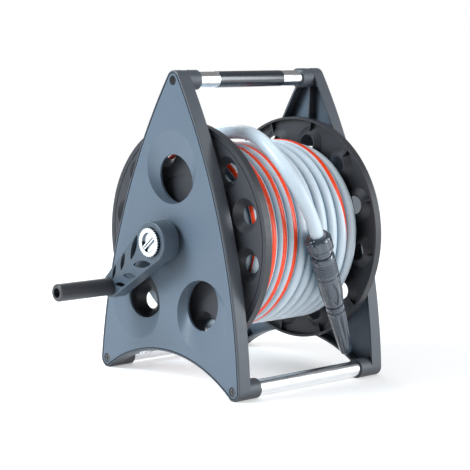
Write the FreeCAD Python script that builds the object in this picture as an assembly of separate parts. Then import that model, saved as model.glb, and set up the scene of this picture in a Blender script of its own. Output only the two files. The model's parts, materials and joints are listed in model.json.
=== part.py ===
import FreeCAD, Part
import math
import os

# Portable garden hose reel: two arched side panels joined by a handle tube and two foot tubes, with a
# drum of hose on a through axle, a crank on one side and a water inlet on the other.  Millimetres.
# X runs along the axle, from the crank side to the inlet side, Z is up and the floor is Z = 0.

V = FreeCAD.Vector

# frame
AXLE_Z = 182.5            # axle above the floor
HANDLE_Z = 381.0          # handle tube above the floor
FOOT_Y = 121.0            # foot tubes, front and rear
FOOT_Z = 12.1
TUBE_R = 10.0
TUBE_WALL = 1.4
TUBE_HALF = 121.0         # half length of a tube
BOSS_R = 12.5             # boss that holds a tube
BOSS_IN = 89.4            # inner end of a boss, from the middle of the reel
PANEL_OUT = 127.0         # outer face of a side panel, from the middle
PANEL_IN = 108.5          # inner edge of its rim
SKIN = 3.0                # wall of the mouldings
RIM_WALL = 2.6            # wall round a panel's edge
RIM_FILLET = 2.0
COVER = 3.4               # thickness of a panel's outer cover, let into the rim
EDGE_R = 820.0            # radius of the panel's long curved edges
ARCH_TOP = 40.0           # top of the arch between the feet
SEAM_WIDTH = 1.4          # open seam between the rim and the cover
SEAM_DEPTH = 1.8

# windows in the panels: a round hole at the low end of a larger scooped dish
WINDOW_R = 30.7
DISH_R = 46.0
DISH_SHIFT = 15.0
DISH_DEPTH = 9.0
DISH_TILT = 8.0           # degrees, deeper towards the hub
SPOKE_IN = 112.0          # inner edge of the spokes
SPOKE_WALL = 2.4
SCREW_HOLE_R = 2.6        # screws through the cover into the tubes' plugs
SCREW_SEAT_R = 6.0
SCREW_SINK = 2.6
WINDOWS = ((0.0, 259.0), (-54.0, 106.5), (54.0, 106.5))

# axle and bearings
JOURNAL_R = 11.0
RUNNING = 0.05            # radial running clearance
BUSH_R = 15.0
HUB_R = 20.0
PANEL_HUB_IN = 103.5

# drum
FLANGE_R = 147.0
FLANGE_OUT = 101.5
FLANGE_IN = 91.6
PLATE = 3.0
CUP_RING = 115.0          # ring of through holes in each flange
CUP_COUNT = 12
CUP_PHASE = 21.0          # degrees above the horizontal, at the front
CUP_R = 21.0
CUP_HOLE_R = 11.5
CUP_DEPTH = 9.3
STEP_R = 80.0
CORE_R = 70.5
POST_RING = 58.0
POST_COUNT = 4

# hose and the way it is wound
HOSE_R = 8.75
WIND_IN = 70.6
WIND_OUT = 118.5
WIND_HALF = 91.2

# water path
SHAFT_R = 9.0
BORE_R = 5.5
SEAL_R = 0.85
ELBOW_R = 13.5
INLET_FROM = 129.0
INLET_TO = 153.0
NIPPLE_R = 6.3
NIPPLE_COLLAR_R = 11.5
BRANCH_X = 143.0
TAIL_X = 82.0             # plane of the hose's first turn
TAIL_DROP = 54.5          # distance of the hose tail's straight line from the axle
TAIL_FROM = 18.0          # the hose starts this far in front of the axle, inside its nut

# crank
ARM_FACE = 158.0
ARM_BACK = 137.0
HUB_BACK = 134.0
ARM_HUB_R = 25.5
ARM_END_R = 14.5
THROW_Y = 80.0
THROW_Z = -66.7
KNOB_R = 18.2
KNOB_FACE = 162.0
KNOB_TEETH = 32
KNOB_NOTCH_R = 1.1
KNOB_DISH_R = 12.4        # recess in the knob's face
KNOB_BAR_TILT = -42.0     # degrees from level
GRIP_R = 11.2
GRIP_END = 241.0

# nozzle on the hose's end: axis from the connector's nut to the tip
NOZZLE_START = V(-9.6, -141.0, 196.9)
NOZZLE_TIP = V(89.8, -104.0, 32.1)
HOSE_IN_NUT = 14.0        # depth of the hose in the connector's nut
HOSE_STRAIGHT = 24.0      # last point of the route before the nut, on the nozzle's axis

# the row's origin is the middle of the reel's box on the floor
CENTRE_X = (GRIP_END - BRANCH_X - NIPPLE_COLLAR_R) / 2

os.makedirs("parts", exist_ok=True)


def save(name, *solids):
    """Write one node, moved so that the origin is at the middle of the reel's base."""
    shape = solids[0] if len(solids) == 1 else Part.makeCompound(list(solids))
    shape = shape.copy()
    shape.translate(V(CENTRE_X, 0, 0))
    shape.exportStep("parts/%s.step" % name)


def rod(x0, x1, radius, y=0.0, z=AXLE_Z):
    """Cylinder along X between two planes."""
    return Part.makeCylinder(radius, abs(x1 - x0), V(min(x0, x1), y, z), V(1, 0, 0))


def ring(x0, x1, outer, inner, y=0.0, z=AXLE_Z):
    return rod(x0, x1, outer, y, z).cut(rod(x0 - 1, x1 + 1, inner, y, z))


def frustum(x0, x1, r0, r1, y=0.0, z=AXLE_Z):
    """Cone along X, radius r0 at x0 and r1 at x1, with x0 < x1."""
    return Part.makeCone(r0, r1, x1 - x0, V(x0, y, z), V(1, 0, 0))


def box(x0, x1, y0, y1, z0, z1):
    return Part.makeBox(x1 - x0, y1 - y0, z1 - z0, V(x0, y0, z0))


def mirrored(shape):
    return shape.mirror(V(0, 0, 0), V(1, 0, 0))


def spun(shape, degrees):
    """Turn about the axle."""
    out = shape.copy()
    out.rotate(V(0, 0, AXLE_Z), V(1, 0, 0), degrees)
    return out


def fuse(shapes):
    out = shapes[0]
    for shape in shapes[1:]:
        out = out.fuse(shape)
    return out


def largest(shape):
    """The biggest solid of a cut shape, without the crumbs that the cut leaves."""
    return max(shape.Solids, key=lambda solid: solid.Volume)


def turned(profile):
    """Solid of revolution about the local Z axis from (radius, z) points."""
    wire = Part.makePolygon([V(r, 0, z) for r, z in profile + [profile[0]]])
    return Part.Face(wire).revolve(V(0, 0, 0), V(0, 0, 1), 360)


# ---------------------------------------------------------------- side panels

def edge_centre():
    """Centre of the front edge's arc, which touches the foot boss and the apex boss from outside."""
    foot = V(0, -FOOT_Y, FOOT_Z)
    apex = V(0, 0, HANDLE_Z)
    span = apex - foot
    half = span.Length / 2
    out = V(0, span.z, -span.y) / span.Length
    return (foot + apex) / 2 + out * math.sqrt((EDGE_R - BOSS_R) ** 2 - half ** 2)


def arch_radius():
    reach = FOOT_Y - math.sqrt(BOSS_R ** 2 - FOOT_Z ** 2)
    return (reach ** 2 + ARCH_TOP ** 2) / (2 * ARCH_TOP)


def panel_outline(inset):
    """Closed outline of a side panel in the YZ plane, moved inwards by inset."""
    centre = edge_centre()
    radius = EDGE_R - inset
    small = BOSS_R - inset
    foot = V(0, -FOOT_Y, FOOT_Z)
    apex = V(0, 0, HANDLE_Z)
    low = centre + (foot - centre).normalize() * radius
    high = centre + (apex - centre).normalize() * radius
    middle = centre + ((low + high) / 2 - centre).normalize() * radius
    flat = math.sqrt(small ** 2 - (FOOT_Z - inset) ** 2)
    heel = V(0, -FOOT_Y - flat, inset)
    side = V(0, -FOOT_Y - small * math.cos(math.radians(40)), FOOT_Z - small * math.sin(math.radians(40)))
    arch = arch_radius() + inset
    arch_z = ARCH_TOP - arch_radius()
    toe = V(0, -math.sqrt(arch ** 2 - (inset - arch_z) ** 2), inset)

    def flip(p):
        return V(0, -p.y, p.z)

    edges = [
        Part.Arc(heel, side, low).toShape(),
        Part.Arc(low, middle, high).toShape(),
        Part.Arc(high, apex + V(0, 0, small), flip(high)).toShape(),
        Part.Arc(flip(high), flip(middle), flip(low)).toShape(),
        Part.Arc(flip(low), flip(side), flip(heel)).toShape(),
        Part.makeLine(flip(heel), flip(toe)),
        Part.Arc(flip(toe), V(0, 0, ARCH_TOP + inset), toe).toShape(),
        Part.makeLine(toe, heel),
    ]
    return Part.Wire(edges)


def prism(inset, x0, x1):
    face = Part.Face(panel_outline(inset))
    face.translate(V(x0, 0, 0))
    return face.extrude(V(x1 - x0, 0, 0))


def window_way(y, z):
    """Unit vector in YZ from the axle to a window's centre."""
    way = V(0, y, z - AXLE_Z)
    return way.normalize()


def dish(y, z, grow, x_face, depth):
    """Oblique cone between the dish's rim and the window's rim; grow thickens it for its backing."""
    way = window_way(y, z)
    rim_centre = V(x_face, y, z) + way * DISH_SHIFT
    hole_centre = V(x_face - depth, y, z)
    tilt = math.radians(DISH_TILT)
    normal = V(-math.cos(tilt), 0, 0) + way * math.sin(tilt)
    rim = Part.Wire(Part.Circle(rim_centre, V(-1, 0, 0), DISH_R + grow).toShape())
    hole = Part.Wire(Part.Circle(hole_centre, normal, WINDOW_R + grow).toShape())
    return Part.makeLoft([rim, hole], True, True)


def tube_places():
    return ((0.0, HANDLE_Z), (-FOOT_Y, FOOT_Z), (FOOT_Y, FOOT_Z))


def spoke(y0, z0, y1, z1):
    """Upright wall inside the panel between two points of the YZ plane."""
    length = math.hypot(y1 - y0, z1 - z0)
    wall = Part.makeBox(PANEL_OUT - COVER - SPOKE_IN, length, SPOKE_WALL, V(SPOKE_IN, 0, -SPOKE_WALL / 2))
    wall.rotate(V(0, 0, 0), V(1, 0, 0), math.degrees(math.atan2(z1 - z0, y1 - y0)))
    wall.translate(V(0, y0, z0))
    return wall


def panel_spokes():
    """Four walls that carry the hub, two falling to the long edges and two rising, and one under the apex."""
    spokes = [spoke(0, HANDLE_Z - 8, 0, 318)]
    for sign in (-1, 1):
        spokes.append(spoke(sign * 15, AXLE_Z - 6, sign * 110, 131))
        spokes.append(spoke(sign * 12, AXLE_Z + 12, sign * 84, 262))
    return spokes


def cover_blank():
    """Outer cover before its openings: a plate let into the rim, its dishes standing out behind it."""
    parts = [
        prism(RIM_WALL, PANEL_OUT - COVER, PANEL_OUT - SEAM_DEPTH),
        prism(RIM_WALL + SEAM_WIDTH, PANEL_OUT - COVER, PANEL_OUT),
    ]
    for y, z in WINDOWS:
        parts.append(dish(y, z, SKIN, PANEL_OUT - SKIN + 0.2, DISH_DEPTH + 0.2))
    return fuse(parts).common(prism(RIM_WALL, PANEL_IN, PANEL_OUT))


def side_cover():
    """Outer cover of the panel on the +X side."""
    solid = cover_blank()
    for y, z in WINDOWS:
        solid = solid.cut(dish(y, z, 0, PANEL_OUT + 0.01, DISH_DEPTH))
        solid = solid.cut(rod(PANEL_IN - 2, PANEL_OUT + 1, WINDOW_R, y, z))
    for y, z in tube_places():
        solid = solid.cut(rod(PANEL_IN, PANEL_OUT + 1, SCREW_HOLE_R, y, z))
        solid = solid.cut(rod(PANEL_OUT - SCREW_SINK, PANEL_OUT + 1, SCREW_SEAT_R, y, z))
    return solid.cut(rod(PANEL_IN, PANEL_OUT + 1, BUSH_R))


def side_panel():
    """Load-bearing frame of the panel on the +X side: rim, tube bosses, hub and spokes."""
    rim = prism(0, PANEL_IN, PANEL_OUT)
    rim_edges = [e for e in rim.Edges if abs(e.CenterOfMass.x - PANEL_OUT) < 1e-6]
    rim = rim.makeFillet(RIM_FILLET, rim_edges)
    adds = [rim.cut(prism(RIM_WALL, PANEL_IN - 1, PANEL_OUT + 1))]
    for y, z in tube_places():
        adds.append(rod(BOSS_IN, PANEL_OUT - COVER, BOSS_R, y, z))
    adds.append(rod(PANEL_HUB_IN, PANEL_OUT - COVER, HUB_R))
    adds += [w.common(prism(1, PANEL_IN, PANEL_OUT - COVER)) for w in panel_spokes()]
    solid = fuse(adds).cut(cover_blank())
    for y, z in WINDOWS:
        solid = solid.cut(rod(PANEL_IN - 2, PANEL_OUT + 1, WINDOW_R + SKIN, y, z))
    for y, z in tube_places():
        solid = solid.cut(rod(BOSS_IN - 1, TUBE_HALF, TUBE_R, y, z))
        solid = solid.cut(rod(TUBE_HALF - 1, PANEL_OUT + 1, SCREW_HOLE_R, y, z))
    clamp = Part.makeCylinder(6.0, 4, V(108.4, 0, HANDLE_Z + BOSS_R - 1.4), V(0, 0, 1))
    solid = solid.cut(clamp)
    solid = solid.cut(Part.makeCylinder(1.8, 6, V(108.4, 0, HANDLE_Z + BOSS_R - 5), V(0, 0, 1)))
    solid = solid.common(box(0, 200, -300, 300, 0, 500))
    return solid.cut(rod(PANEL_HUB_IN - 1, PANEL_OUT + 1, BUSH_R))


def bush():
    """Flanged bearing bush pressed into the panel's hub from inside."""
    sleeve = rod(PANEL_HUB_IN, PANEL_OUT, BUSH_R)
    collar = rod(PANEL_HUB_IN - 1.2, PANEL_HUB_IN, HUB_R - 1)
    bore = rod(PANEL_HUB_IN - 3, PANEL_OUT + 1, JOURNAL_R + RUNNING)
    return sleeve.fuse(collar).cut(bore)


# ---------------------------------------------------------------- tubes and their fixings

def tube(y, z):
    return rod(-TUBE_HALF, TUBE_HALF, TUBE_R, y, z).cut(
        rod(-TUBE_HALF - 1, TUBE_HALF + 1, TUBE_R - TUBE_WALL, y, z))


def frame_screw(y, z):
    """Pan head in the panel's recess, shank through the end wall into the tube's plug."""
    head = rod(PANEL_OUT - 2.6, PANEL_OUT - 0.6, 5.2, y, z)
    shank = rod(TUBE_HALF - 17, PANEL_OUT - 2.6, 2.5, y, z)
    slot = box(PANEL_OUT - 1.6, PANEL_OUT, y - 4, y + 4, z - 0.6, z + 0.6)
    cross = box(PANEL_OUT - 1.6, PANEL_OUT, y - 0.6, y + 0.6, z - 4, z + 4)
    return head.fuse(shank).cut(slot).cut(cross)


def clamp_screw():
    """Small countersunk screw down through the handle boss into the tube."""
    top = HANDLE_Z + BOSS_R - 1.4
    head = Part.makeCylinder(4.2, 0.9, V(108.4, 0, top), V(0, 0, 1))
    shank = Part.makeCylinder(1.7, 7.5, V(108.4, 0, top - 7.5), V(0, 0, 1))
    slot = box(104.9, 111.9, -0.5, 0.5, top + 0.3, top + 2)
    return head.fuse(shank).cut(slot)


def both_sides(shape):
    return [mirrored(shape), shape]


def make_frame_fixings():
    screws, plugs = [], []
    clamps = both_sides(clamp_screw())
    for y, z in tube_places():
        for screw in both_sides(frame_screw(y, z)):
            screws.append(screw)
        plug = rod(TUBE_HALF - 20, TUBE_HALF, TUBE_R - TUBE_WALL, y, z).cut(
            rod(TUBE_HALF - 22, TUBE_HALF + 1, 2.5, y, z))
        for piece in both_sides(plug):
            for clamp in clamps:
                piece = piece.cut(clamp)
            plugs.append(piece)
    save("frame_screws", *screws)
    save("tube_plugs", *plugs)
    save("handle_clamp_screws", *clamps)
    handle = tube(0, HANDLE_Z)
    for clamp in clamps:
        handle = handle.cut(clamp)
    save("handle_tube", handle)
    save("handle_sleeve", ring(-55.5, 55.5, TUBE_R + 0.35, TUBE_R, 0, HANDLE_Z))
    save("front_foot_tube", tube(-FOOT_Y, FOOT_Z))
    save("rear_foot_tube", tube(FOOT_Y, FOOT_Z))


# ---------------------------------------------------------------- drum

def cup_angle(i):
    return CUP_PHASE + i * 360.0 / CUP_COUNT


def on_ring(radius, degrees):
    """Point of the YZ plane; degrees are counted from the front, upwards."""
    a = math.radians(degrees)
    return -radius * math.cos(a), AXLE_Z + radius * math.sin(a)


def flange():
    """Drum flange on the +X side."""
    plate = rod(FLANGE_OUT - PLATE, FLANGE_OUT, FLANGE_R)
    rim = ring(FLANGE_IN, FLANGE_OUT, FLANGE_R, FLANGE_R - SKIN)
    adds = [plate, rim]
    root = FLANGE_OUT - PLATE
    for i in range(CUP_COUNT):
        y, z = on_ring(CUP_RING, cup_angle(i))
        adds.append(frustum(FLANGE_OUT - CUP_DEPTH, root + 0.2, CUP_HOLE_R + 2.6, CUP_R + 1.2, y, z))
        spoke = box(FLANGE_IN + 1.5, root + 0.2, -1.0, 1.0, CUP_RING + 15, FLANGE_R - 1)
        spoke.translate(V(0, 0, AXLE_Z))
        adds.append(spun(spoke, 90 - cup_angle(i)))
    adds.append(ring(root - 3, root + 0.2, CORE_R + 2.8, CORE_R + 0.05))
    adds.append(rod(root - 5, root + 0.2, 16.0))
    solid = fuse(adds)
    for i in range(CUP_COUNT):
        y, z = on_ring(CUP_RING, cup_angle(i))
        solid = solid.cut(frustum(FLANGE_OUT - CUP_DEPTH - 0.01, FLANGE_OUT + 0.01, CUP_HOLE_R, CUP_R, y, z))
    solid = solid.cut(ring(FLANGE_OUT - 1.0, FLANGE_OUT + 1, STEP_R, 24.0))
    solid = solid.cut(ring(FLANGE_OUT - 0.9, FLANGE_OUT + 1, FLANGE_R - 6.2, FLANGE_R - 7.2))
    for i in range(POST_COUNT):
        y, z = on_ring(POST_RING, 45 + i * 360.0 / POST_COUNT)
        solid = solid.cut(rod(root - 4, FLANGE_OUT + 1, 2.3, y, z))
    return solid


def flange_screws():
    screws = []
    for i in range(POST_COUNT):
        y, z = on_ring(POST_RING, 45 + i * 360.0 / POST_COUNT)
        head = rod(FLANGE_OUT - 1.0, FLANGE_OUT + 1.2, 4.4, y, z)
        shank = rod(FLANGE_OUT - 18, FLANGE_OUT - 1.0, 2.25, y, z)
        slot = box(FLANGE_OUT + 0.3, FLANGE_OUT + 2, y - 3.4, y + 3.4, z - 0.5, z + 0.5)
        screws += both_sides(head.fuse(shank).cut(slot))
    return screws


def drum_core():
    """Barrel between the flanges, with screw posts at its ends and a window for the hose tail."""
    end = FLANGE_OUT - PLATE
    barrel = ring(-end, end, CORE_R, CORE_R - SKIN)
    adds = [barrel]
    for i in range(POST_COUNT):
        y, z = on_ring(POST_RING, 45 + i * 360.0 / POST_COUNT)
        web_y, web_z = on_ring(POST_RING + 5, 45 + i * 360.0 / POST_COUNT)
        for x0, x1 in ((-end, -end + 24), (end - 24, end)):
            adds.append(rod(x0, x1, 5.0, y, z))
            adds.append(rod(x0, x1, 4.6, web_y, web_z).common(rod(x0, x1, CORE_R - 1)))
    solid = fuse(adds)
    for i in range(POST_COUNT):
        y, z = on_ring(POST_RING, 45 + i * 360.0 / POST_COUNT)
        solid = solid.cut(rod(-end - 1, -end + 20, 2.25, y, z)).cut(rod(end - 20, end + 1, 2.25, y, z))
    return solid.cut(tail_window())


def tail_window():
    """Slot through the barrel where the hose tail comes out."""
    return box(TAIL_X - 10.5, TAIL_X + 10.5, -74, -6, AXLE_Z + TAIL_DROP - 14, AXLE_Z + TAIL_DROP + 16)


def water_shaft():
    """Hollow axle on the inlet side: seal end, journal, drum flange seat and inner spigot."""
    shaft = fuse([
        rod(TAIL_X - 14, PANEL_OUT + 0.5, JOURNAL_R),
        rod(PANEL_OUT + 0.5, INLET_TO - 4, SHAFT_R),
    ])
    shaft = shaft.cut(rod(TAIL_X - 10, INLET_TO, BORE_R))
    for x in (INLET_FROM + 4, INLET_TO - 8):
        shaft = shaft.cut(ring(x - 1.1, x + 1.1, SHAFT_R + 1, SHAFT_R - 1.7))
    shaft = shaft.cut(ring(139.4, 142.6, SHAFT_R + 1, SHAFT_R - 2.2))
    return shaft.cut(Part.makeCylinder(4.5, 30, V(TAIL_X, 0, AXLE_Z), V(0, 0, 1)))


def shaft_seal(x):
    return Part.makeTorus(SHAFT_R - SEAL_R, SEAL_R, V(x, 0, AXLE_Z), V(1, 0, 0))


def along_tail(radius, start, stop, dx=0.0, dz=0.0):
    """Cylinder on the hose tail's line, between two distances in front of the axle."""
    return Part.makeCylinder(radius, stop - start, V(TAIL_X + dx, -start, AXLE_Z + TAIL_DROP + dz), V(0, -1, 0))


def outlet_elbow():
    """Saddle on the shaft, riser and tangential spigot for the hose tail."""
    hub = rod(TAIL_X - 13, TAIL_X + 11, JOURNAL_R + 4)
    riser = Part.makeCylinder(8.5, TAIL_DROP + 8.5, V(TAIL_X, 0, AXLE_Z), V(0, 0, 1))
    solid = fuse([hub, riser, along_tail(6.2, 0, TAIL_FROM)])
    solid = solid.cut(rod(TAIL_X - 20, TAIL_X + 20, JOURNAL_R))
    solid = solid.cut(Part.makeCylinder(4.5, TAIL_DROP + 3, V(TAIL_X, 0, AXLE_Z), V(0, 0, 1)))
    return solid.cut(along_tail(4.5, 0, TAIL_FROM + 1))


def tail_nut():
    """Ring nut that clamps the hose on the spigot."""
    body = along_tail(11.4, 9, TAIL_FROM + 5)
    body = body.cut(along_tail(6.2, 8, TAIL_FROM)).cut(along_tail(HOSE_R, TAIL_FROM, TAIL_FROM + 6))
    for i in range(8):
        a = i * 2 * math.pi / 8
        body = body.cut(along_tail(1.6, 8, TAIL_FROM + 6, 12 * math.cos(a), 12 * math.sin(a)))
    return body


def crank_stub():
    """Solid stub axle on the crank side, with a square end for the crank."""
    stub = fuse([
        rod(-PANEL_OUT - 5, -FLANGE_OUT + 15, JOURNAL_R),
        rod(-FLANGE_OUT + PLATE, -FLANGE_OUT + PLATE + 12, 15.0),
    ])
    square = box(-152, -PANEL_OUT - 5, -7.5, 7.5, AXLE_Z - 7.5, AXLE_Z + 7.5)
    return stub.fuse(square).removeSplitter().cut(rod(-160, -138, 2.9))


# ---------------------------------------------------------------- crank

def arm_outline(inset):
    """Tapered outline of the crank arm in the YZ plane."""
    hub = V(0, 0, AXLE_Z)
    end = V(0, THROW_Y, AXLE_Z + THROW_Z)
    along = end - hub
    length = along.Length
    along.normalize()
    across = V(0, -along.z, along.y)
    big, small = ARM_HUB_R - inset, ARM_END_R - inset
    lean = math.asin((big - small) / length)
    up = along * math.sin(lean) + across * math.cos(lean)
    down = along * math.sin(lean) - across * math.cos(lean)
    points = [hub + up * big, hub - along * big, hub + down * big,
              end + down * small, end + along * small, end + up * small]
    return Part.Wire([
        Part.Arc(points[0], points[1], points[2]).toShape(),
        Part.makeLine(points[2], points[3]),
        Part.Arc(points[3], points[4], points[5]).toShape(),
        Part.makeLine(points[5], points[0]),
    ])


def arm_prism(inset, x0, x1):
    face = Part.Face(arm_outline(inset))
    face.translate(V(x0, 0, 0))
    return face.extrude(V(x1 - x0, 0, 0))


def leaf(s0, t0, s1, t1, width):
    """Leaf-shaped cutter through the arm's face between two points in the arm's own axes."""
    throw = math.hypot(THROW_Y, THROW_Z)
    ay, az = THROW_Y / throw, THROW_Z / throw

    def place(s, t):
        return V(-ARM_FACE - 1, s * ay - t * az, AXLE_Z + s * az + t * ay)

    a, b = place(s0, t0), place(s1, t1)
    middle = (a + b) / 2
    side = V(0, -(b - a).z, (b - a).y).normalize() * (width / 2)
    wire = Part.Wire([Part.Arc(a, middle + side, b).toShape(), Part.Arc(b, middle - side, a).toShape()])
    return Part.Face(wire).extrude(V(14, 0, 0))


def leaves():
    cutters = []
    for s_in, s_out, width in ((46.5, 16.0, 9.4), (71.5, 51.0, 7.2), (93.0, 75.5, 5.6)):
        reach = ARM_HUB_R - (ARM_HUB_R - ARM_END_R) * s_out / math.hypot(THROW_Y, THROW_Z) - 2.2
        for sign in (1, -1):
            cutters.append(leaf(s_in, sign * 3.4, s_out, sign * reach, width))
    return cutters


def crank_arm():
    shell = arm_prism(0, -ARM_FACE, -ARM_BACK)
    face_edges = [e for e in shell.Edges if abs(e.CenterOfMass.x + ARM_FACE) < 1e-6]
    shell = shell.makeFillet(1.8, face_edges)
    shell = shell.cut(arm_prism(SKIN, -ARM_FACE + SKIN, -ARM_BACK + 1))
    skirt = ring(-ARM_BACK - 0.5, -HUB_BACK, ARM_HUB_R + 0.6, ARM_HUB_R - SKIN)
    end_boss = rod(-ARM_FACE + 2, -ARM_BACK, 8.0, THROW_Y, AXLE_Z + THROW_Z)
    solid = fuse([shell, skirt, end_boss])
    for cutter in leaves():
        solid = solid.cut(cutter)
    solid = solid.fuse(rod(-ARM_FACE + 0.6, -HUB_BACK, 17.5))
    solid = solid.cut(rod(-ARM_FACE - 1, -ARM_FACE + 3.0, KNOB_R + 0.4))
    solid = solid.cut(box(-152, -HUB_BACK + 1, -7.55, 7.55, AXLE_Z - 7.55, AXLE_Z + 7.55))
    solid = solid.cut(rod(-ARM_FACE - 1, -150, 3.1))
    return largest(solid.cut(rod(-ARM_FACE - 1, -ARM_BACK + 1, 4.0, THROW_Y, AXLE_Z + THROW_Z)))


def crank_knob():
    """Chromed knurled cap nut with a recessed, barred centre."""
    body = rod(-KNOB_FACE, -ARM_FACE + 3.0, KNOB_R)
    for i in range(KNOB_TEETH):
        a = i * 2 * math.pi / KNOB_TEETH
        y, z = KNOB_R * math.cos(a), AXLE_Z + KNOB_R * math.sin(a)
        body = body.cut(rod(-KNOB_FACE - 1, -ARM_FACE + 4, KNOB_NOTCH_R, y, z))
    body = body.cut(rod(-KNOB_FACE - 1, -KNOB_FACE + 3.2, KNOB_DISH_R))
    bar = box(-KNOB_FACE + 0.6, -KNOB_FACE + 4, -KNOB_DISH_R - 0.2, KNOB_DISH_R + 0.2, -2.6, 2.6)
    slot = box(-KNOB_FACE, -KNOB_FACE + 2.2, -10.5, 10.5, -0.8, 0.8)
    for part in (bar, slot):
        part.rotate(V(0, 0, 0), V(1, 0, 0), KNOB_BAR_TILT)
        part.translate(V(0, 0, AXLE_Z))
    body = body.fuse(bar).removeSplitter().cut(slot)
    return body.cut(rod(-KNOB_FACE + 3.4, -ARM_FACE + 4, 3.0))


def crank_screw():
    """Screw behind the cap nut that holds the arm on the stub's square end."""
    return rod(-ARM_FACE + 0.6, -152, 2.95).fuse(rod(-152, -140, 2.9))


def crank_grip():
    z = AXLE_Z + THROW_Z
    body = rod(-GRIP_END, -ARM_FACE - 0.6, GRIP_R, THROW_Y, z)
    body = body.makeFillet(2.4, [e for e in body.Edges if abs(e.CenterOfMass.x + GRIP_END) < 1e-6])
    body = body.cut(rod(-GRIP_END - 1, -ARM_FACE, 4.0 + RUNNING, THROW_Y, z))
    return body.cut(rod(-GRIP_END - 1, -GRIP_END + 12, 6.2, THROW_Y, z))


def grip_pin():
    z = AXLE_Z + THROW_Z
    shank = rod(-GRIP_END + 12.3, -ARM_BACK - 1, 4.0, THROW_Y, z)
    head = rod(-GRIP_END + 8.6, -GRIP_END + 11.7, 5.6, THROW_Y, z)
    neck = rod(-GRIP_END + 11, -GRIP_END + 13, 4.0, THROW_Y, z)
    return fuse([shank, neck, head])


# ---------------------------------------------------------------- water inlet

def inlet_elbow():
    """Swivelling elbow: socket over the shaft's end and a branch that hangs down."""
    body = rod(INLET_FROM, INLET_TO, ELBOW_R)
    body = body.makeFillet(2.5, [e for e in body.Edges if abs(e.CenterOfMass.x - INLET_TO) < 1e-6])
    branch = Part.makeCylinder(10.0, 30, V(BRANCH_X, 0, AXLE_Z - 30), V(0, 0, 1))
    solid = body.fuse(branch).removeSplitter()
    solid = solid.cut(rod(INLET_FROM - 1, INLET_TO - 3.5, SHAFT_R + RUNNING))
    solid = solid.cut(Part.makeCylinder(BORE_R, 31, V(BRANCH_X, 0, AXLE_Z - 31), V(0, 0, 1)))
    for y in (-8.2, 8.2):
        solid = solid.cut(Part.makeCylinder(1.2, 40, V(141, y, AXLE_Z - 12), V(0, 0, 1)))
    return solid


def inlet_clip():
    """U-shaped wire clip that drops into the shaft's groove."""
    legs = [Part.makeCylinder(1.2, 27, V(141, y, AXLE_Z - 12), V(0, 0, 1)) for y in (-8.2, 8.2)]
    bridge = Part.makeCylinder(1.2, 16.4, V(141, -8.2, AXLE_Z + 15), V(0, 1, 0))
    caps = [Part.makeSphere(1.2, V(141, y, AXLE_Z + 15)) for y in (-8.2, 8.2)]
    return fuse(legs + [bridge] + caps)


def inlet_nipple():
    """Push-on male nipple below the elbow."""
    low = AXLE_Z - 30
    profile = [(4.5, low), (NIPPLE_COLLAR_R, low), (NIPPLE_COLLAR_R, low - 6), (8.6, low - 7.5),
               (8.6, low - 14), (7.2, low - 15.5), (7.2, low - 19), (8.6, low - 21), (8.6, low - 23),
               (NIPPLE_R, low - 24), (NIPPLE_R, low - 36), (5.6, low - 37), (4.5, low - 37)]
    solid = turned(profile)
    solid.translate(V(BRANCH_X, 0, 0))
    return solid


# ---------------------------------------------------------------- hose

def hose_winding():
    """Outer shape of the three layers of turns on the barrel."""
    return ring(-WIND_HALF, WIND_HALF, WIND_OUT, WIND_IN)


def hose_tail():
    """Straight start of the hose, from its nut to where it joins the first turn."""
    return along_tail(HOSE_R, TAIL_FROM, 82).common(rod(-WIND_HALF, WIND_HALF, WIND_IN))


# Free end of the hose: (x, distance from the axle, degrees from the front, upwards).  It leaves the last
# turn beside the crank-side flange, crosses over the back and comes down the front to the nozzle.
FREE_END = (
    (-80.0, 117.0, 214.0),
    (-75.0, 126.0, 190.0),
    (-61.0, 132.0, 164.0),
    (-46.0, 133.0, 138.0),
    (-33.0, 133.0, 113.0),
    (-29.0, 132.5, 90.0),
    (-38.0, 145.0, 68.0),
    (-46.0, 152.0, 47.0),
    (-39.0, 154.0, 28.0),
)


def free_points():
    points = [V(x, *on_ring(r, a)) for x, r, a in FREE_END]
    return points + [NOZZLE_START - nozzle_way() * HOSE_STRAIGHT, NOZZLE_START + nozzle_way() * HOSE_IN_NUT]


def tube_path(points):
    """Straight runs joined by the largest tangent arcs that the runs allow."""
    edges = []
    last = points[0]
    for before, here, after in zip(points, points[1:], points[2:]):
        back, ahead = before - here, after - here
        run = 0.45 * min(back.Length, ahead.Length)
        back.normalize()
        ahead.normalize()
        half_turn = (math.pi - back.getAngle(ahead)) / 2
        radius = run / math.tan(half_turn)
        start, stop = here + back * run, here + ahead * run
        inward = (back + ahead).normalize()
        middle = here + inward * (radius / math.cos(half_turn) - radius)
        print("free end arc radius %.1f mm, run %.1f mm" % (radius, (after - here).Length))
        edges.append(Part.makeLine(last, start))
        edges.append(Part.Arc(start, middle, stop).toShape())
        last = stop
    edges.append(Part.makeLine(last, points[-1]))
    return Part.Wire(edges)


def hose_end():
    points = free_points()
    path = tube_path(points)
    first = (points[1] - points[0]).normalize()
    section = Part.Wire(Part.Circle(points[0], first, HOSE_R).toShape())
    pipe = path.makePipeShell([section], True, False, 2)
    print("free end: length %.1f mm, volume %.0f, section times length %.0f"
          % (path.Length, pipe.Volume, math.pi * HOSE_R ** 2 * path.Length))
    return largest(pipe.cut(hose_winding()))


# ---------------------------------------------------------------- connector and nozzle

def nozzle_way():
    return (NOZZLE_TIP - NOZZLE_START).normalize()


def along_nozzle(shape):
    """Put a piece made along +Z, from the connector's nut to the tip, on the nozzle's axis."""
    out = shape.copy()
    turn = FreeCAD.Rotation(V(0, 0, 1), nozzle_way())
    out.Placement = FreeCAD.Placement(NOZZLE_START, turn).multiply(out.Placement)
    return out


def nozzle_length():
    return (NOZZLE_TIP - NOZZLE_START).Length


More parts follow.
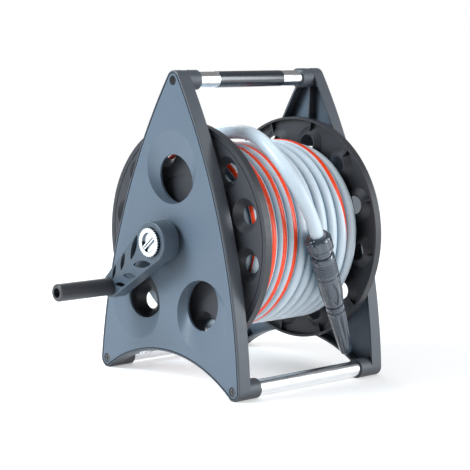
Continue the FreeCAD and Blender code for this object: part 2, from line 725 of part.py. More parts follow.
def connector_nut():
    body = turned([(0, 0), (15.0, 0), (16.8, 2), (16.8, 22), (15.6, 24), (0, 24)])
    for i in range(10):
        a = math.radians(i * 36)
        flat = Part.makeBox(4, 14, 20, V(15.9, -7, 2))
        flat.rotate(V(0, 0, 0), V(0, 0, 1), math.degrees(a))
        body = body.cut(flat)
    body = body.cut(Part.makeCylinder(8.75, 15, V(0, 0, -1)))
    return body.cut(Part.makeCylinder(7.0, 30, V(0, 0, 0)))


def connector_body():
    """Core of the quick connector, on which the release collar slides."""
    body = turned([(0, 24), (13.0, 24), (13.0, 27), (12.4, 27), (12.4, 64), (0, 64)])
    barb = Part.makeCylinder(6.9, 12, V(0, 0, 13))
    body = body.fuse(barb).removeSplitter()
    body = body.cut(Part.makeCylinder(7.0, 20, V(0, 0, 48)))
    return body.cut(Part.makeCylinder(4.5, 60, V(0, 0, 10)))


def release_collar():
    body = turned([(12.45, 30.5), (13.6, 30.5), (15.2, 33), (15.4, 40), (15.4, 62), (14.6, 64), (12.45, 64)])
    for i in range(6):
        z = 40.5 + i * 3.2
        body = body.cut(turned([(14.8, z), (16, z), (16, z + 1.2), (14.8, z + 1.2)]))
    return body


def nozzle_body():
    body = turned([(4.4, 48), (7.0, 48), (7.0, 64.4), (14.6, 64.4), (15.0, 67), (14.8, 92), (12.4, 110),
                   (11.4, 112), (6.1, 112), (6.1, 134), (4.4, 134)])
    for i in range(8):
        a = math.radians(22.5 + i * 45)
        hollow = Part.makeCylinder(5.2, 26, V(18.2 * math.cos(a), 18.2 * math.sin(a), 76))
        body = body.cut(hollow)
    return body


def nozzle_ring():
    return turned([(11.1, 117.4), (11.5, 117.4), (11.4, 120.4), (11.0, 120.4)])


def nozzle_lance():
    """Fluted twist lance that turns on the nozzle body's stem."""
    length = nozzle_length()
    body = turned([(0, 112.4), (11.3, 112.4), (11.0, 120.4), (7.8, length - 1.5), (7.0, length), (0, length)])
    for i in range(8):
        a = math.radians(i * 45)
        flute = Part.makeCylinder(2.2, length, V(0, 0, 0))
        lean = math.degrees(math.atan2(3.2, length - 126))
        flute.rotate(V(0, 0, length), V(0, 1, 0), lean)
        flute.translate(V(8.9, 0, 0))
        flute.rotate(V(0, 0, 0), V(0, 0, 1), math.degrees(a))
        body = body.cut(flute.common(Part.makeBox(60, 60, length - 126, V(-30, -30, 126))))
    body = body.cut(Part.makeCylinder(6.1 + RUNNING, 23, V(0, 0, 111.6)))
    body = body.cut(Part.makeCone(6.1, 3.0, 10, V(0, 0, 134.5)))
    body = body.cut(Part.makeCylinder(3.0, 80, V(0, 0, 140)))
    return body


def make_hose():
    save("hose_winding", hose_winding())
    save("hose_tail", hose_tail())
    save("hose_end", hose_end().cut(along_nozzle(connector_nut())).cut(along_nozzle(connector_body())))
    save("connector_nut", along_nozzle(connector_nut()).cut(hose_end()))
    save("connector_body", along_nozzle(connector_body()))
    save("release_collar", along_nozzle(release_collar()))
    save("nozzle_body", along_nozzle(nozzle_body()))
    lance = nozzle_lance()
    save("nozzle_ring", along_nozzle(nozzle_ring()))
    save("nozzle_lance", along_nozzle(lance.cut(nozzle_ring())))


def make_frame():
    panel = side_panel()
    save("inlet_side_panel", panel)
    save("crank_side_panel", mirrored(panel))
    cover = side_cover()
    save("inlet_side_cover", cover)
    save("crank_side_cover", mirrored(cover))
    save("inlet_side_bush", bush())
    save("crank_side_bush", mirrored(bush()))
    make_frame_fixings()


def make_drum():
    side = flange()
    save("inlet_side_flange", side.cut(water_shaft()))
    save("crank_side_flange", mirrored(side).cut(crank_stub()))
    save("drum_core", drum_core())
    save("flange_screws", *flange_screws())
    save("water_shaft", water_shaft())
    save("shaft_seals", shaft_seal(INLET_FROM + 4), shaft_seal(INLET_TO - 8))
    save("outlet_elbow", outlet_elbow())
    save("tail_nut", tail_nut())
    save("crank_stub", crank_stub())


def make_crank():
    save("crank_arm", crank_arm())
    save("crank_knob", crank_knob())
    save("crank_screw", crank_screw())
    save("crank_grip", crank_grip())
    save("grip_pin", grip_pin())


def make_inlet():
    save("inlet_elbow", inlet_elbow())
    save("inlet_clip", inlet_clip())
    save("inlet_nipple", inlet_nipple())


make_frame()
make_drum()
make_crank()
make_inlet()
make_hose()
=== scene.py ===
import bmesh
import bpy
import json
import math
from mathutils import Matrix, Vector


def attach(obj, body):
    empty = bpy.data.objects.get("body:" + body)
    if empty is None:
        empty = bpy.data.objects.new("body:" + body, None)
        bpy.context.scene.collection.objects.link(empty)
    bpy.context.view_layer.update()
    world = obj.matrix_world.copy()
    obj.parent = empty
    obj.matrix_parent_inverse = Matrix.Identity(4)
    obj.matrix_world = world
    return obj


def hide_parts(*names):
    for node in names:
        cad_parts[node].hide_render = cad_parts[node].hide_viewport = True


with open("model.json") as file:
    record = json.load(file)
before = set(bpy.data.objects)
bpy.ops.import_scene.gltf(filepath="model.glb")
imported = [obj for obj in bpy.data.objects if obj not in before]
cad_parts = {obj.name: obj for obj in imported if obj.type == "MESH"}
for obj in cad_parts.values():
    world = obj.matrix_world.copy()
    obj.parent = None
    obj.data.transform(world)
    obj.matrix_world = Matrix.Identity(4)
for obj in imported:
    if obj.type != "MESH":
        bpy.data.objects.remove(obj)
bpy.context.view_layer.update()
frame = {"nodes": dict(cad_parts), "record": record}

# Portable garden hose reel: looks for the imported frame.  Metres, X along the axle from the crank side to
# the water inlet side, -Y to the front, Z up.

MM = 0.001
CENTRE_X = 43.25 * MM                       # the middle of the drum
AXLE_Z = frame["record"]["behaviour"]["joints"][0]["pos_m"][2]
HOSE_RADIUS = 8.75 * MM


def mm(x, y, z):
    """Point in metres from millimetres; x counts from the middle of the drum."""
    return Vector((x * MM + CENTRE_X, y * MM, z * MM))


# ---------------------------------------------------------------- camera

VIEW_FROM = (-43.0, 8.1)                    # azimuth and elevation, degrees
VIEW_DISTANCE = 2.158                       # metres from the point aimed at
VIEW_AIM = mm(-8.6, 8.0, 178.8)
VIEW_ROLL = 1.4                             # degrees
LENS = 127.5                                # millimetres, on the sensor width below
SENSOR_WIDTH = 36


def add_camera():
    azimuth, elevation = (math.radians(a) for a in VIEW_FROM)
    back = Vector((math.sin(azimuth) * math.cos(elevation), -math.cos(azimuth) * math.cos(elevation),
                   math.sin(elevation)))
    right = Vector((0, 0, 1)).cross(back).normalized()
    up = back.cross(right)
    roll = math.radians(VIEW_ROLL)
    right, up = right * math.cos(roll) + up * math.sin(roll), up * math.cos(roll) - right * math.sin(roll)
    data = bpy.data.cameras.new("camera")
    data.lens = LENS
    data.sensor_width = SENSOR_WIDTH
    camera = bpy.data.objects.new("camera", data)
    camera.matrix_world = Matrix.Translation(VIEW_AIM + back * VIEW_DISTANCE) @ Matrix(
        (right, up, back)).transposed().to_4x4()
    bpy.context.scene.collection.objects.link(camera)
    bpy.context.scene.camera = camera


# ---------------------------------------------------------------- shader helpers

class Wire:
    """One shader socket, with arithmetic that adds Math nodes."""

    def __init__(self, finish, socket):
        self.finish = finish
        self.socket = socket

    def maths(self, operation, *values):
        return self.finish.node("ShaderNodeMath", {"operation": operation}, dict(enumerate(values)))

    def __add__(self, other):
        return self.maths("ADD", self, other)

    def __radd__(self, other):
        return self.maths("ADD", other, self)

    def __sub__(self, other):
        return self.maths("SUBTRACT", self, other)

    def __rsub__(self, other):
        return self.maths("SUBTRACT", other, self)

    def __mul__(self, other):
        return self.maths("MULTIPLY", self, other)

    def __rmul__(self, other):
        return self.maths("MULTIPLY", other, self)


class Finish:
    """A material with one Principled shader and the nodes that feed it."""

    def __init__(self, name, **sockets):
        self.material = bpy.data.materials.new(name)
        self.material.use_nodes = True
        self.tree = self.material.node_tree
        self.tree.nodes.clear()
        output = self.tree.nodes.new("ShaderNodeOutputMaterial")
        self.shader = self.tree.nodes.new("ShaderNodeBsdfPrincipled")
        self.tree.links.new(self.shader.outputs["BSDF"], output.inputs["Surface"])
        self.set(**sockets)

    def node(self, kind, settings=None, values=None, output=0):
        made = self.tree.nodes.new(kind)
        for key, value in (settings or {}).items():
            setattr(made, key, value)
        for key, value in (values or {}).items():
            self.feed(made.inputs[key], value)
        return Wire(self, made.outputs[output])

    def feed(self, socket, value):
        if isinstance(value, Wire):
            self.tree.links.new(value.socket, socket)
        else:
            socket.default_value = value

    def set(self, **sockets):
        for name, value in sockets.items():
            self.feed(self.shader.inputs[name.replace("_", " ").title().replace("Ior", "IOR")], value)
        return self

    def place(self):
        return self.node("ShaderNodeTexCoord", output="Object")

    def noise(self, scale, detail=2.0, roughness=0.5, stretch=(1, 1, 1)):
        """Noise between 0 and 1; scale is in features per metre."""
        spot = self.node("ShaderNodeVectorMath", {"operation": "MULTIPLY"}, {0: self.place(), 1: stretch})
        return self.node("ShaderNodeTexNoise", {"noise_dimensions": "3D"},
                         {"Vector": spot, "Scale": scale, "Detail": detail, "Roughness": roughness})

    def span(self, value, low, high, to_low=0.0, to_high=1.0):
        return self.node("ShaderNodeMapRange", {"clamp": True},
                         {0: value, 1: low, 2: high, 3: to_low, 4: to_high})

    def blend(self, amount, first, second):
        return self.node("ShaderNodeMix", {"data_type": "RGBA"}, {0: amount, 6: first, 7: second}, 2)

    def bump(self, height, distance):
        return self.node("ShaderNodeBump", {}, {"Height": height, "Distance": distance, "Strength": 1.0})

    def painted_shade_mask(self, reach):
        """Mask for painted shade: 1 in the open, towards 0 in grooves, slots and corners within the reach, in
        metres.
        """
        shut = self.node("ShaderNodeAmbientOcclusion", {"samples": 6, "only_local": False},
                         {"Distance": reach}, 1)
        return self.span(shut, 0.25, 0.9)

    def edges(self, radius):
        """1 on edges sharper than the radius, in metres, and 0 on flat stretches."""
        soft = self.node("ShaderNodeBevel", {"samples": 4}, {"Radius": radius})
        hard = self.node("ShaderNodeNewGeometry", output="Normal")
        same = self.node("ShaderNodeVectorMath", {"operation": "DOT_PRODUCT"}, {0: soft, 1: hard}, 1)
        return self.span(same, 0.995, 0.86)


def shade(colour, factor):
    """The colour made lighter or darker, with its alpha."""
    return tuple(min(1.0, c * factor) for c in colour[:3]) + (1.0,)


# ---------------------------------------------------------------- finishes

# Colours are linear light.
# the slate is lighter than the bare dark plastic: partly its own colour, partly a painted sheen
SLATE = (0.094, 0.126, 0.165)
# a darker copy of the slate for the panels' rim mouldings: painted shade, since the rims face away from the
# main light
SLATE_RIM_SHADED = (0.070, 0.079, 0.095)
SLATE_DARK = (0.030, 0.031, 0.037)
GRIP_BLACK = (0.042, 0.041, 0.046)
INK = (0.038, 0.054, 0.078)
HOSE_BLUE = (0.64, 0.73, 0.80)
# painted shade between the hose's turns, cool blue
HOSE_BLUE_SHADE = (0.13, 0.24, 0.33, 1)
STRIPE_ORANGE = (0.90, 0.060, 0.008)
# painted shade between the turns on the orange stripe
STRIPE_ORANGE_SHADE = (0.40, 0.02, 0.004, 1)
PAINTED_CORNER_SHADE = 0.22                         # how dark the painted shade in moulded plastic's corners is


def moulded(name, colour, roughness, grain=0.00006, worn=1.35):
    """Injection-moulded plastic: spark-eroded grain, faint flow clouding, rubbed edges, and painted shade
    darkening its corners, slots and grooves.
    """
    finish = Finish(name, ior=1.5)
    cloud = finish.noise(14, 3, 0.55)
    fine = finish.noise(2600, 2, 0.6)
    scuff = finish.noise(60, 5, 0.7, (1, 1, 3.5))
    rubbed = finish.edges(0.0012) * finish.span(scuff, 0.35, 0.7, 0.35, 1.0)
    base = finish.blend(cloud, shade(colour, 0.93), shade(colour, 1.07))
    # painted shade: the colour goes dark in corners, slots and grooves, where shade falls
    base = finish.blend(finish.painted_shade_mask(0.02), shade(colour, PAINTED_CORNER_SHADE), base)
    finish.set(base_color=finish.blend(rubbed, base, shade(colour, worn)),
               roughness=finish.span(scuff, 0.3, 0.75, roughness - 0.05, roughness + 0.08) - rubbed * 0.08,
               normal=finish.bump(fine, grain))
    return finish.material


def drawn_aluminium():
    """Bright drawn tube: fine lines along the tube and a few handling marks."""
    finish = Finish("drawn_aluminium", metallic=1.0)
    lines = finish.noise(900, 3, 0.6, (0.02, 1, 1))
    marks = finish.noise(55, 4, 0.65)
    finish.set(base_color=finish.blend(marks, (0.80, 0.81, 0.83, 1), (0.90, 0.91, 0.92, 1)),
               roughness=finish.span(lines, 0.3, 0.7, 0.16, 0.27) + finish.span(marks, 0.55, 0.75, 0.0, 0.07),
               normal=finish.bump(lines, 0.00003))
    return finish.material


def zinc_steel():
    """Zinc-plated screws: cloudy, half dull plating."""
    finish = Finish("zinc_steel", metallic=1.0)
    cloud = finish.noise(420, 3, 0.6)
    finish.set(base_color=finish.blend(cloud, (0.50, 0.51, 0.53, 1), (0.68, 0.69, 0.70, 1)),
               roughness=finish.span(cloud, 0.3, 0.7, 0.28, 0.42),
               normal=finish.bump(cloud, 0.00003))
    return finish.material


def bright_chrome():
    """Plated cap nut: mirror bright, with faint swirls, and painted shade, near black, in its dips and
    between its teeth.
    """
    finish = Finish("bright_chrome", metallic=1.0)
    swirl = finish.noise(260, 4, 0.6)
    plating = finish.blend(swirl, (0.56, 0.60, 0.65, 1), (0.74, 0.77, 0.80, 1))
    # painted shade: near black in the dips and teeth gaps, where shade falls
    finish.set(base_color=finish.blend(finish.painted_shade_mask(0.006), (0.02, 0.022, 0.03, 1), plating),
               roughness=finish.span(swirl, 0.4, 0.8, 0.08, 0.16),
               normal=finish.bump(swirl, 0.00001))
    return finish.material


def gloss(name, colour, roughness=0.12, edge_highlight=1.5):
    """Polished plastic with a clear surface, slight moulding waviness and a painted highlight that lightens
    its edges.
    """
    finish = Finish(name, ior=1.52, coat_weight=1.0, coat_roughness=0.05)
    wave = finish.noise(70, 2, 0.5)
    smear = finish.noise(180, 4, 0.7)
    # painted highlight: the colour is lighter along the edges
    finish.set(base_color=finish.blend(finish.edges(0.0008), shade(colour, 1.0), shade(colour, edge_highlight)),
               roughness=finish.span(smear, 0.35, 0.75, roughness, roughness + 0.10),
               normal=finish.bump(wave, 0.00012))
    return finish.material


def hose_skin(name, colour, shade_between_turns, low=0.20, high=0.30):
    """Soft vinyl hose: satin skin, a little dusty, with painted shade, cool and dark, where it touches the
    next turn.
    """
    finish = Finish(name, ior=1.5, subsurface_weight=0.12, subsurface_radius=(0.002, 0.0022, 0.0025),
                    subsurface_scale=1.0)
    dust = finish.noise(40, 4, 0.6)
    skin = finish.noise(900, 2, 0.5)
    base = finish.blend(dust, shade(colour, 0.95), shade(colour, 1.03))
    # painted shade: darker and cooler where the turns touch, where shade falls
    finish.set(base_color=finish.blend(finish.painted_shade_mask(0.016), shade_between_turns, base),
               roughness=finish.span(dust, 0.35, 0.7, low, high),
               normal=finish.bump(skin, 0.00003))
    return finish.material


def film():
    """Dark film sleeve shrunk on the handle: faint lengthwise tension lines."""
    finish = Finish("handle_film", ior=1.5, coat_weight=0.6, coat_roughness=0.08)
    lines = finish.noise(220, 3, 0.6, (0.05, 1, 1))
    finish.set(base_color=finish.blend(lines, (0.012, 0.015, 0.024, 1), (0.022, 0.027, 0.042, 1)),
               roughness=finish.span(lines, 0.3, 0.7, 0.18, 0.30),
               normal=finish.bump(lines, 0.00005))
    return finish.material


def rubber():
    """Dull, fine-grained seal rubber."""
    finish = Finish("seal_rubber", ior=1.5)
    grain = finish.noise(1500, 3, 0.6)
    finish.set(base_color=finish.blend(grain, (0.010, 0.010, 0.011, 1), (0.02, 0.02, 0.02, 1)),
               roughness=finish.span(grain, 0.3, 0.7, 0.55, 0.7), normal=finish.bump(grain, 0.00003))
    return finish.material


def make_finishes():
    """One finish for each material slot of the record."""
    return {
        "panel_plastic": moulded("slate_plastic", SLATE, 0.42),
        # the crank takes a darker copy of the slate: painted shade for its dim front-facing sides
        "crank_plastic": moulded("crank_plastic", shade(SLATE, 0.68), 0.36),
        "drum_plastic": moulded("drum_plastic", SLATE_DARK, 0.40),
        "grip_plastic": moulded("grip_plastic", GRIP_BLACK, 0.34, 0.00004),
        "bearing_plastic": moulded("acetal", (0.72, 0.70, 0.64), 0.33, 0.00002, 1.05),
        "tube_aluminium": drawn_aluminium(),
        "sleeve_film": film(),
        "plug_plastic": moulded("plug_plastic", (0.02, 0.02, 0.022), 0.5),
        "screw_steel": zinc_steel(),
        "screw_black": gloss("black_screw", (0.012, 0.012, 0.014), 0.3),
        "knob_chrome": bright_chrome(),
        "shaft_plastic": moulded("glass_filled_plastic", (0.022, 0.022, 0.024), 0.45, 0.00008),
        "fitting_plastic": gloss("fitting_plastic", INK),
        "seal_rubber": rubber(),
        "hose_vinyl": hose_skin("hose_vinyl", HOSE_BLUE, HOSE_BLUE_SHADE),
        "ring_plastic": gloss("ring_plastic", (0.75, 0.78, 0.82), 0.2, 1.1),
    }


def dress_frame(finishes):
    """Finishes for the CAD nodes; the sides' inner mouldings get a darker copy of the covers' slate, as
    painted shade.
    """
    # painted shade: the rims take a darker copy of the covers' slate
    shaded_rim = moulded("rim_plastic", SLATE_RIM_SHADED, 0.40)
    slot_of = {s["node"]: s["material_slot"] for s in frame["record"]["subparts"]}
    for name, part in frame["nodes"].items():
        part.data.materials.clear()
        part.data.materials.append(shaded_rim if name.endswith("side_panel") else finishes[slot_of[name]])


# ---------------------------------------------------------------- mesh helpers

LATHE_STEPS = 192                           # points round a turned piece
WELD = 1e-7                                 # metres


def new_piece(name, mesh, body, slot, finishes, *more, sharp):
    """Object from a mesh, riding on a body; edges that turn by more than sharp degrees stay crisp."""
    mesh.set_sharp_from_angle(angle=math.radians(sharp))
    piece = bpy.data.objects.new(name, mesh)
    bpy.context.scene.collection.objects.link(piece)
    for finish in (finishes[slot],) + more:
        mesh.materials.append(finish)
    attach(piece, body)
    return piece


def lathe(name, profile, matrix, form):
    """Closed ring of (height, radius) points turned about local Z; form(height, radius, angle) reshapes."""
    vertices, faces = [], []
    for height, radius in profile:
        for k in range(LATHE_STEPS):
            angle = 2 * math.pi * k / LATHE_STEPS
            r = form(height, radius, angle)
            vertices.append(matrix @ Vector((r * math.cos(angle), r * math.sin(angle), height)))
    for i in range(len(profile)):
        near, far = i * LATHE_STEPS, (i + 1) % len(profile) * LATHE_STEPS
        for k in range(LATHE_STEPS):
            after = (k + 1) % LATHE_STEPS
            faces.append((near + k, near + after, far + after, far + k))
    mesh = bpy.data.meshes.new(name)
    mesh.from_pydata(vertices, [], faces)
    mesh.validate()
    work = bmesh.new()
    work.from_mesh(mesh)
    bmesh.ops.remove_doubles(work, verts=work.verts, dist=WELD)
    bmesh.ops.recalc_face_normals(work, faces=work.faces)
    for face in work.faces:
        face.smooth = True
    work.to_mesh(mesh)
    work.free()
    return mesh


def smooth_step(t):
    """0 to 1 with a soft start and end, and level outside that."""
    t = max(0.0, min(1.0, t))
    return t * t * (3 - 2 * t)


def rows(start, stop, count):
    """Evenly spaced heights from start to stop."""
    return [start + (stop - start) * i / count for i in range(count + 1)]


# ---------------------------------------------------------------- hose

TURN_POINTS = 16                            # control points in a turn of the winding
LAYER_RADII = (79.35, 94.55, 109.75)        # centre lines of the three layers, millimetres
LAYER_END = 82.4                            # first and last turn of a layer, from the drum's middle
CLIMB = 9                                   # points in the climb to the next layer
LAST_ANGLE = 236.5                          # where the winding hands over to the free end, degrees

# Hose tail inside the barrel and free end outside: (x, distance from the axle, degrees from the front,
# upwards), from the water outlet to the nozzle.
TAIL = (
    (82.0, 57.4, 71.7),
    (82.0, 63.8, 58.3),
    (82.0, 71.5, 37.0),
    (82.0, 77.4, 15.0),
    (82.0, 80.6, -9.0),
)
FREE_END = (
    (-80.0, 117.0, 214.0),
    (-75.0, 126.0, 190.0),
    (-61.0, 132.0, 164.0),
    (-46.0, 133.0, 138.0),
    (-33.0, 133.0, 113.0),
    (-29.0, 132.5, 90.0),
    (-38.0, 145.0, 68.0),
    (-46.0, 152.0, 47.0),
    (-39.0, 154.0, 28.0),
)
NOZZLE_START = mm(-9.6, -141.0, 196.9)
NOZZLE_TIP = mm(89.8, -104.0, 32.1)
NOZZLE_WAY = (NOZZLE_TIP - NOZZLE_START).normalized()
HOSE_STRAIGHT = 24 * MM                     # straight stretch before the nut
HOSE_IN_NUT = 14 * MM
# The hose twists as it's wound: metres from the free end, and where the stripe faces there in degrees.
STRIPE = ((0.0, 230), (0.58, 230), (0.86, 84), (1.02, 76), (1.45, 6), (3.2, -4), (3.45, -150),
          (6.2, -150), (6.4, 5), (6.62, 12), (6.9, 175), (9.0, 190), (13.0, 150), (19.0, 200))
HOSE_SIDES = 24                             # flats round the hose's mesh
STRIPE_SIDES = 3                            # of them, orange
SPLINE_STEPS = 5                            # points of the hose's line to each control point
TURN_GAP = 0.1                              # millimetres between neighbouring turns


def on_ring(x, radius, degrees):
    """Point by distance from the axle and degrees from the front, upwards; millimetres in, metres out."""
    a = math.radians(degrees)
    return Vector((x * MM + CENTRE_X, -radius * MM * math.cos(a), AXLE_Z + radius * MM * math.sin(a)))


def winding_points():
    """Control points of the three layers; the hose turns from the top to the front."""
    spread = 1 / math.cos(math.pi / TURN_POINTS)
    pitch = 2 * HOSE_RADIUS / MM + TURN_GAP
    steps = round(2 * LAYER_END / pitch * TURN_POINTS)
    places = []
    side = 1
    for number, radius in enumerate(LAYER_RADII):
        if number:
            below = LAYER_RADII[number - 1]
            for k in range(1, CLIMB):
                places.append((side * LAYER_END, below + (radius - below) * smooth_step(k / CLIMB)))
        for k in range(steps + 1):
            places.append((side * LAYER_END * (1 - 2 * k / steps), radius))
        side = -side
    step = 360 / TURN_POINTS
    first = LAST_ANGLE + step * (len(places) - 1)
    return [on_ring(x, radius * spread, first - step * k) for k, (x, radius) in enumerate(places)]


def hose_route():
    """Control points of the whole hose, from the water outlet to the nozzle's nut."""
    points = [on_ring(*place) for place in TAIL]
    points += winding_points()
    points += [on_ring(*place) for place in FREE_END]
    return points + [NOZZLE_START - NOZZLE_WAY * HOSE_STRAIGHT, NOZZLE_START + NOZZLE_WAY * HOSE_IN_NUT]


def smooth_line(points, resolution):
    """Points along the NURBS spline that has the route's points as its control points."""
    curve = bpy.data.curves.new("route", "CURVE")
    curve.dimensions = "3D"
    curve.resolution_u = resolution
    spline = curve.splines.new("NURBS")
    spline.points.add(len(points) - 1)
    for target, point in zip(spline.points, points):
        target.co = (*point, 1)
    spline.order_u = 3
    spline.use_endpoint_u = True
    route = bpy.data.objects.new("route", curve)
    bpy.context.scene.collection.objects.link(route)
    mesh = bpy.data.meshes.new_from_object(route)
    line = [vertex.co.copy() for vertex in mesh.vertices]
    bpy.data.objects.remove(route)
    bpy.data.meshes.remove(mesh)
    return line


def stripe_turn(travelled, whole):
    """Place of the stripe round the hose, degrees from facing outwards, by metres from the free end."""
    left = whole - travelled
    turn = STRIPE[-1][1]
    for (before, first), (after, second) in zip(STRIPE, STRIPE[1:]):
        if before <= left < after:
            turn = first + (second - first) * smooth_step((left - before) / (after - before))
    return turn


def make_hose(finishes):
    """The hose as a tube along its spline, with its stripe, its connector and its nozzle."""
    line = smooth_line(hose_route(), SPLINE_STEPS)
    whole = sum((b - a).length for a, b in zip(line, line[1:]))
    vertices, faces, striped = [], [], []
    travelled = 0.0
    for i, point in enumerate(line):
        ahead, behind = line[min(i + 1, len(line) - 1)], line[max(i - 1, 0)]
        if i:
            travelled += (point - line[i - 1]).length
        way = (ahead - behind).normalized()
        out = Vector((0, point.y, point.z - AXLE_Z))
        out = (out - way * out.dot(way)).normalized()
        side = way.cross(out)
        start = math.radians(stripe_turn(travelled, whole))
        for k in range(HOSE_SIDES):
            a = start + 2 * math.pi * (k - STRIPE_SIDES / 2) / HOSE_SIDES
            vertices.append(point + (out * math.cos(a) + side * math.sin(a)) * HOSE_RADIUS)
    for i in range(len(line) - 1):
        for k in range(HOSE_SIDES):
            a, b = i * HOSE_SIDES + k, i * HOSE_SIDES + (k + 1) % HOSE_SIDES
            faces.append((a, b, b + HOSE_SIDES, a + HOSE_SIDES))
            striped.append(1 if k < STRIPE_SIDES else 0)
    last = (len(line) - 1) * HOSE_SIDES
    faces.append(tuple(reversed(range(HOSE_SIDES))))
    faces.append(tuple(range(last, last + HOSE_SIDES)))
    striped += [0, 0]
    mesh = bpy.data.meshes.new("garden_hose")
    mesh.from_pydata(vertices, [], faces)
    mesh.polygons.foreach_set("material_index", striped)
    mesh.polygons.foreach_set("use_smooth", [True] * len(faces))
    stripe = hose_skin("hose_stripe", STRIPE_ORANGE, STRIPE_ORANGE_SHADE, 0.25, 0.36)
    hose = new_piece("garden_hose", mesh, "drum", "hose_vinyl", finishes, stripe, sharp=60)
    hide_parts("hose_winding", "hose_tail", "hose_end")
    ["tail_nut", "nozzle_ring", "connector_body"] + make_nozzle(finishes)


# ---------------------------------------------------------------- connector and nozzle

# Everything here is in millimetres, with heights along the nozzle's axis, counted from the nut's mouth.
NUT_TOP = 24
NUT_FLATS = 10
COLLAR = (30.5, 64)
COLLAR_RIDGES = 24
COLLAR_GROOVES = 6
LEAVES = (68, 109)
LEAF_COUNT = 8
BODY_TOP = 112
LANCE_FOOT = 112.4
FLUTES_START = 124
FLUTE_COUNT = 8


def nozzle_matrix():
    """From the nozzle's own axis, in millimetres, to its place on the hose."""
    turn = NOZZLE_WAY.to_track_quat("Z", "Y").to_matrix().to_4x4()
    return Matrix.Translation(NOZZLE_START) @ turn @ Matrix.Scale(MM, 4)


def nut_form(height, radius, angle):
    """Shallow finger flats round the nut."""
    first, last = 2, NUT_TOP - 1.5
    if radius < 14 or not first < height < last:
        return radius
    inwards = smooth_step(min(height - first, last - height) / 3)
    return radius - 0.9 * abs(math.sin(NUT_FLATS / 2 * angle)) ** 3 * inwards


def collar_form(height, radius, angle):
    """Grip ridges along the release collar."""
    if radius < 14.5 or not 40 < height < 60:
        return radius
    return radius - 0.35 * (0.5 + 0.5 * math.cos(COLLAR_RIDGES * angle))


def leaf_form(height, radius, angle):
    """Leaf-shaped hollows between the ribs of the nozzle's body."""
    first, last = LEAVES
    if radius < 11.3 or not first < height < last:
        return radius
    swell = math.sin(math.pi * (height - first) / (last - first))
    width = 0.34 * swell ** 0.7
    spacing = 2 * math.pi / LEAF_COUNT
    off = abs((angle + spacing / 2) % spacing - spacing / 2)
    return radius - 2.3 * smooth_step((width - off) / 0.11) * min(1.0, 3.2 * swell)


def flute_form(height, radius, angle):
    """Flutes of the twist lance, deep at the ring and running out at the tip."""
    if radius < 7.0 or height < FLUTES_START:
        return radius
    above = height - FLUTES_START
    fade = smooth_step(above / 5) * (1 - 0.75 * smooth_step((above - 16) / 52))
    return radius - 2.0 * fade * (0.5 + 0.5 * math.cos(FLUTE_COUNT * angle)) ** 1.6


def make_nozzle(finishes):
    """Smooth skins for the nut, collar, body and lance from (height, radius) outlines; returns the names."""
    length = (NOZZLE_TIP - NOZZLE_START).length / MM
    nut = [(0, 8.8), (0, 10.6), (0.5, 11.8), (1.5, 13.4), (2.8, 14.9), (4.2, 16.0), (5.6, 16.6)]
    nut += [(z, 16.8) for z in rows(7, 17.5, 11)] + [(17.7, 16.2), (18.5, 16.2), (18.7, 16.8)]
    nut += [(z, 16.8) for z in rows(19.5, 22, 3)]
    nut += [(23.2, 16.2), (23.9, 15.2), (NUT_TOP, 13.2), (NUT_TOP, 7), (14, 7), (14, 8.8)]
    foot, top = COLLAR
    collar = [(foot, 12.45), (foot, 13.3), (30.9, 13.8), (33, 15.1), (36, 15.35), (39.8, 15.4)]
    for k in range(COLLAR_GROOVES):
        z = 40.5 + 3.2 * k
        collar += [(z, 15.4), (z + 0.25, 14.8), (z + 0.95, 14.8), (z + 1.2, 15.4), (z + 2.2, 15.55)]
    collar += [(60.5, 15.5), (62.2, 15.4), (63.5, 15.0), (top, 14.3), (top, 12.45)]
    body = [(48, 4.4), (48, 7), (64.4, 7), (64.4, 13.9), (64.8, 14.6), (66, 15)]
    body += [(z, 15.0 - 0.2 * (z - 67) / 25) for z in rows(67, 92, 24)]
    body += [(z, 14.8 - 2.4 * (z - 92) / 18) for z in rows(93, 110, 18)]
    body += [(111.2, 12.0), (111.9, 11.3), (BODY_TOP, 10.6), (BODY_TOP, 6.1), (134, 6.1), (134, 4.4)]
    lance = [(LANCE_FOOT, 6.2), (LANCE_FOOT, 11.8), (113.0, 12.5), (119.6, 12.3), (120.4, 11.0), (122, 11.0)]
    lance += [(122.6, 12.2)]
    lance += [(z, 12.2 - 4.0 * (z - 123) / (length - 125)) for z in rows(123, length - 2, 40)]
    lance += [(length - 0.9, 7.6), (length - 0.2, 6.9), (length, 6.2), (length, 3.0), (146, 3.0), (135, 6.2)]
    made = []
    for name, body_name, profile, form in (
            ("connector_nut", "drum", nut, nut_form),
            ("release_collar", "collar", collar, collar_form),
            ("nozzle_body", "drum", body, leaf_form),
            ("nozzle_lance", "lance", lance, flute_form)):
        mesh = lathe(name + "_skin", profile, nozzle_matrix(), form)
        piece = new_piece(name + "_skin", mesh, body_name, "fitting_plastic", finishes, sharp=40)
        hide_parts(name)
        made.append(piece.name)
    return made


# ---------------------------------------------------------------- floor and light

FLOOR_REACH = 1.6
LIGHTS_AIM = (0.03, 0, 0.2)
LIGHTS = (                                  # name, place, width and height, watts, colour
    ("key_softbox", (-1.9, 0.9, 1.5), (1.4, 1.4), 86, (0.82, 0.93, 1.0)),
    ("front_softbox", (0.9, -2.2, 1.2), (2.4, 1.8), 26, (0.93, 0.97, 1.0)),
    ("strip_softbox", (1.5, -1.9, 0.8), (0.7, 1.7), 25, (0.88, 0.95, 1.0)),
    ("top_softbox", (0.1, 0.3, 2.3), (1.4, 1.4), 9, (1, 1, 1)),
    ("back_softbox", (0.8, 2.2, 1.2), (1.6, 1.0), 16, (1, 1, 1)),
)
BACKDROP = 1.0                              # how bright the backdrop looks, and how much light it gives
BACKDROP_LIGHT = 0.25


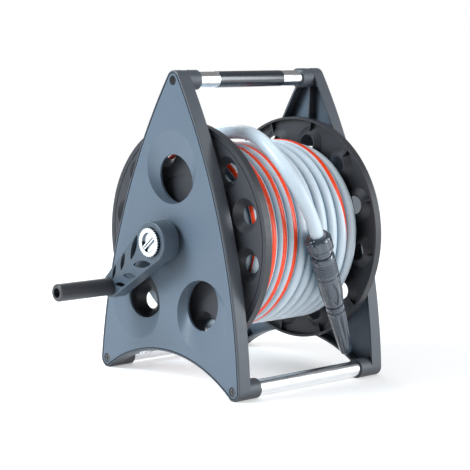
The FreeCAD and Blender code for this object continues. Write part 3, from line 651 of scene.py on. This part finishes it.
def add_floor():
    """Pale floor that glows a little, so that it meets the white backdrop without a line."""
    corners = [(-FLOOR_REACH, -FLOOR_REACH, 0), (FLOOR_REACH, -FLOOR_REACH, 0),
               (FLOOR_REACH, FLOOR_REACH, 0), (-FLOOR_REACH, FLOOR_REACH, 0)]
    mesh = bpy.data.meshes.new("floor")
    mesh.from_pydata(corners, [], [(0, 1, 2, 3)])
    floor = bpy.data.objects.new("floor", mesh)
    bpy.context.scene.collection.objects.link(floor)
    finish = Finish("pale_floor", roughness=0.6)
    cloud = finish.noise(3, 2, 0.5)
    finish.set(base_color=finish.blend(cloud, (0.80, 0.80, 0.80, 1), (0.83, 0.83, 0.83, 1)),
               emission_color=(1, 1, 1, 1), emission_strength=0.38)
    floor.data.materials.append(finish.material)


def add_light(name, place, size, power, colour):
    data = bpy.data.lights.new(name, "AREA")
    data.shape = "RECTANGLE"
    data.size, data.size_y = size
    data.energy = power
    data.color = colour
    lamp = bpy.data.objects.new(name, data)
    lamp.location = place
    lamp.rotation_euler = (Vector(LIGHTS_AIM) - Vector(place)).to_track_quat("-Z", "Y").to_euler()
    bpy.context.scene.collection.objects.link(lamp)


def add_world():
    """White backdrop; a dimmer white lights the object, so that its shaded sides stay dark."""
    world = bpy.data.worlds.new("studio")
    bpy.context.scene.world = world
    world.use_nodes = True
    nodes, links = world.node_tree.nodes, world.node_tree.links
    ray = nodes.new("ShaderNodeLightPath")
    strength = nodes.new("ShaderNodeMapRange")
    strength.inputs["To Min"].default_value = BACKDROP_LIGHT
    strength.inputs["To Max"].default_value = BACKDROP
    links.new(ray.outputs["Is Camera Ray"], strength.inputs["Value"])
    links.new(strength.outputs["Result"], nodes["Background"].inputs["Strength"])
    nodes["Background"].inputs["Color"].default_value = (1, 1, 1, 1)


def add_lights():
    for light in LIGHTS:
        add_light(*light)
    add_world()
    bpy.context.scene.view_settings.view_transform = "Standard"


finishes = make_finishes()
dress_frame(finishes)
make_hose(finishes)
add_floor()
add_lights()
add_camera()
